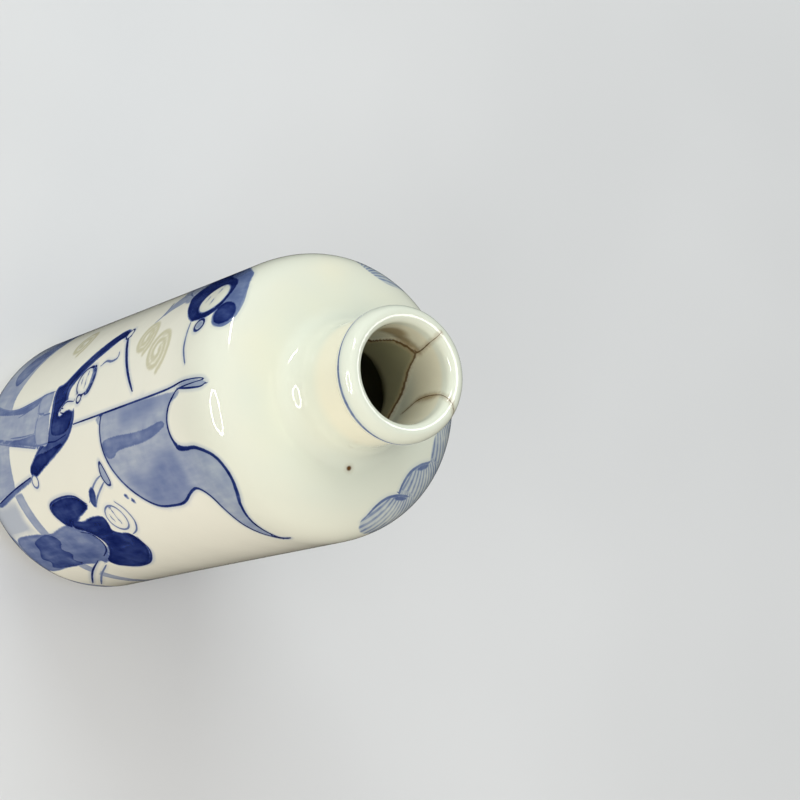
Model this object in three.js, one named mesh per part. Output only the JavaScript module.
// Cylindrical blue-and-white porcelain snuff bottle, standing on its foot ring.
// One hollow thrown body: straight wall, low domed shoulder, short straight neck and a rolled lip.
// Units are millimetres and +Z is up. The origin is on the table, under the bottle's axis.
import * as THREE from 'three';

// ---- driving sizes ---------------------------------------------------------------------------

const TURN_STEPS = 64; // facets around the axis

const BODY = { radius: 16, height: 78 };

const BASE = {
  cornerWidth: 5.4, // how far the rounded lower corner runs in from the wall
  cornerHeight: 5.9,
  footWidth: 1.7, // flat ring that the bottle stands on
  recessDepth: 1.0, // the underside is cut back inside the ring
  recessSlope: 0.6,
};

const NECK = { radius: 6.8, topBelowRim: 2.9, filletWidth: 2.6, filletHeight: 3.3 };

const SHOULDER = {
  startBelowRim: 19.8, // where the straight wall begins to turn in
  edgeBelowRim: 12.25, // where the dome meets the fillet of the neck
  outerPull: 0.8, // share of the shoulder's height that stays close to the wall's line
  innerPull: 4.6, // length of the nearly flat run beside the neck
  innerFall: 0.5, // how far that run falls
};

const LIP = {
  radius: 7.36,
  widestBelowRim: 2.05,
  seatInner: 5.95, // the narrow flat ring on top, which a stopper's collar sits on
  seatOuter: 6.35,
  boreRound: 1.1,
};

const THROAT = {
  radius: 5.1,
  lowerRadius: 4.75, // below the luting line where neck and body were joined
  luteBelowRim: 7.4,
  luteStep: 0.5,
  endBelowRim: 12.0,
};

const HOLLOW = {
  radius: 13.6, // leaves a 2.4 mm wall
  floorHeight: 3.6,
  floorCorner: 4.2,
  wallTopBelowRim: 21.5,
  ceilingPull: 4.2,
};

// ---- profile -----------------------------------------------------------------------------------

/**
 * Quarter of an ellipse from one point to another.
 * @param {THREE.Vector2} from start point
 * @param {THREE.Vector2} to end point
 * @param {boolean} leavesLevel true when the curve leaves `from` level and reaches `to` upright
 * @param {number} steps number of chords
 * @returns {THREE.Vector2[]} the points after `from`, ending on `to`
 */
function quarter(from, to, leavesLevel, steps) {
  const points = [];
  for (let i = 1; i <= steps; i++) {
    const angle = (i / steps) * (Math.PI / 2);
    const early = Math.sin(angle);
    const late = 1 - Math.cos(angle);
    points.push(new THREE.Vector2(
      from.x + (to.x - from.x) * (leavesLevel ? early : late),
      from.y + (to.y - from.y) * (leavesLevel ? late : early),
    ));
  }
  return points;
}

/**
 * Cubic curve between two points, given the pull of each end.
 * @param {THREE.Vector2} from start point
 * @param {THREE.Vector2} fromPull offset of the first control point
 * @param {THREE.Vector2} toPull offset of the second control point from `to`
 * @param {THREE.Vector2} to end point
 * @param {number} steps number of chords
 * @returns {THREE.Vector2[]} the points after `from`, ending on `to`
 */
function sweep(from, fromPull, toPull, to, steps) {
  const curve = new THREE.CubicBezierCurve(
    from, from.clone().add(fromPull), to.clone().add(toPull), to,
  );
  return curve.getPoints(steps).slice(1);
}

/**
 * Inside of the bottle, from the middle of the floor up to the edge of the bore.
 * @returns {THREE.Vector2[]} points as (radius, height)
 */
function insideProfile() {
  const rim = BODY.height;
  const floorEdge = new THREE.Vector2(HOLLOW.radius - HOLLOW.floorCorner, HOLLOW.floorHeight);
  const wallFoot = new THREE.Vector2(HOLLOW.radius, HOLLOW.floorHeight + HOLLOW.floorCorner);
  const wallTop = new THREE.Vector2(HOLLOW.radius, rim - HOLLOW.wallTopBelowRim);
  const throatEnd = new THREE.Vector2(THROAT.lowerRadius, rim - THROAT.endBelowRim);
  const luteLow = new THREE.Vector2(
    THROAT.lowerRadius, rim - THROAT.luteBelowRim - THROAT.luteStep,
  );
  const luteHigh = new THREE.Vector2(THROAT.radius, rim - THROAT.luteBelowRim);
  const boreTop = new THREE.Vector2(THROAT.radius, rim - LIP.boreRound);
  return [
    new THREE.Vector2(0, HOLLOW.floorHeight),
    floorEdge,
    ...quarter(floorEdge, wallFoot, true, 5),
    wallTop,
    ...sweep(
      wallTop, new THREE.Vector2(0, HOLLOW.ceilingPull),
      new THREE.Vector2(0, -HOLLOW.ceilingPull), throatEnd, 10,
    ),
    luteLow,
    luteHigh,
    boreTop,
  ];
}

/**
 * Outside of the bottle, from the lip's flat ring down to the middle of the underside.
 * @returns {THREE.Vector2[]} points as (radius, height)
 */
function outsideProfile() {
  const rim = BODY.height;
  const seatOuter = new THREE.Vector2(LIP.seatOuter, rim);
  const lipWidest = new THREE.Vector2(LIP.radius, rim - LIP.widestBelowRim);
  const neckTop = new THREE.Vector2(NECK.radius, rim - NECK.topBelowRim);
  const domeEdge = new THREE.Vector2(
    NECK.radius + NECK.filletWidth, rim - SHOULDER.edgeBelowRim,
  );
  const neckFoot = new THREE.Vector2(NECK.radius, domeEdge.y + NECK.filletHeight);
  const wallTop = new THREE.Vector2(BODY.radius, rim - SHOULDER.startBelowRim);
  const wallFoot = new THREE.Vector2(BODY.radius, BASE.cornerHeight);
  const footOuter = new THREE.Vector2(BODY.radius - BASE.cornerWidth, 0);
  const footInner = new THREE.Vector2(footOuter.x - BASE.footWidth, 0);
  const recessEdge = new THREE.Vector2(footInner.x - BASE.recessSlope, BASE.recessDepth);
  return [
    seatOuter,
    ...quarter(seatOuter, lipWidest, true, 6),
    ...quarter(lipWidest, neckTop, false, 3),
    neckFoot,
    ...quarter(neckFoot, domeEdge, false, 6),
    ...sweep(
      domeEdge, new THREE.Vector2(SHOULDER.innerPull, -SHOULDER.innerFall),
      new THREE.Vector2(0, SHOULDER.outerPull * (domeEdge.y - wallTop.y)), wallTop, 13,
    ),
    wallFoot,
    ...quarter(wallFoot, footOuter, false, 8),
    footInner,
    recessEdge,
    new THREE.Vector2(0, BASE.recessDepth),
  ];
}

/**
 * The hollow body as one turned solid.
 * @returns {THREE.LatheGeometry} closed geometry with its axis on Z
 */
function turnedBottle() {
  const boreTop = new THREE.Vector2(THROAT.radius, BODY.height - LIP.boreRound);
  const seatInner = new THREE.Vector2(LIP.seatInner, BODY.height);
  const profile = [
    ...insideProfile(),
    ...quarter(boreTop, seatInner, false, 4),
    ...outsideProfile(),
  ];
  const geometry = new THREE.LatheGeometry(profile.reverse(), TURN_STEPS);
  geometry.rotateX(Math.PI / 2);
  return geometry;
}

// ---- scene graph -------------------------------------------------------------------------------

const glazedPorcelain = new THREE.MeshStandardMaterial({
  color: 0xd8d4c4,
  roughness: 0.2,
  metalness: 0,
});

const bottle = new THREE.Mesh(turnedBottle(), glazedPorcelain);
bottle.name = 'bottle';

const snuffBottle = new THREE.Group();
snuffBottle.add(bottle);

export default snuffBottle;
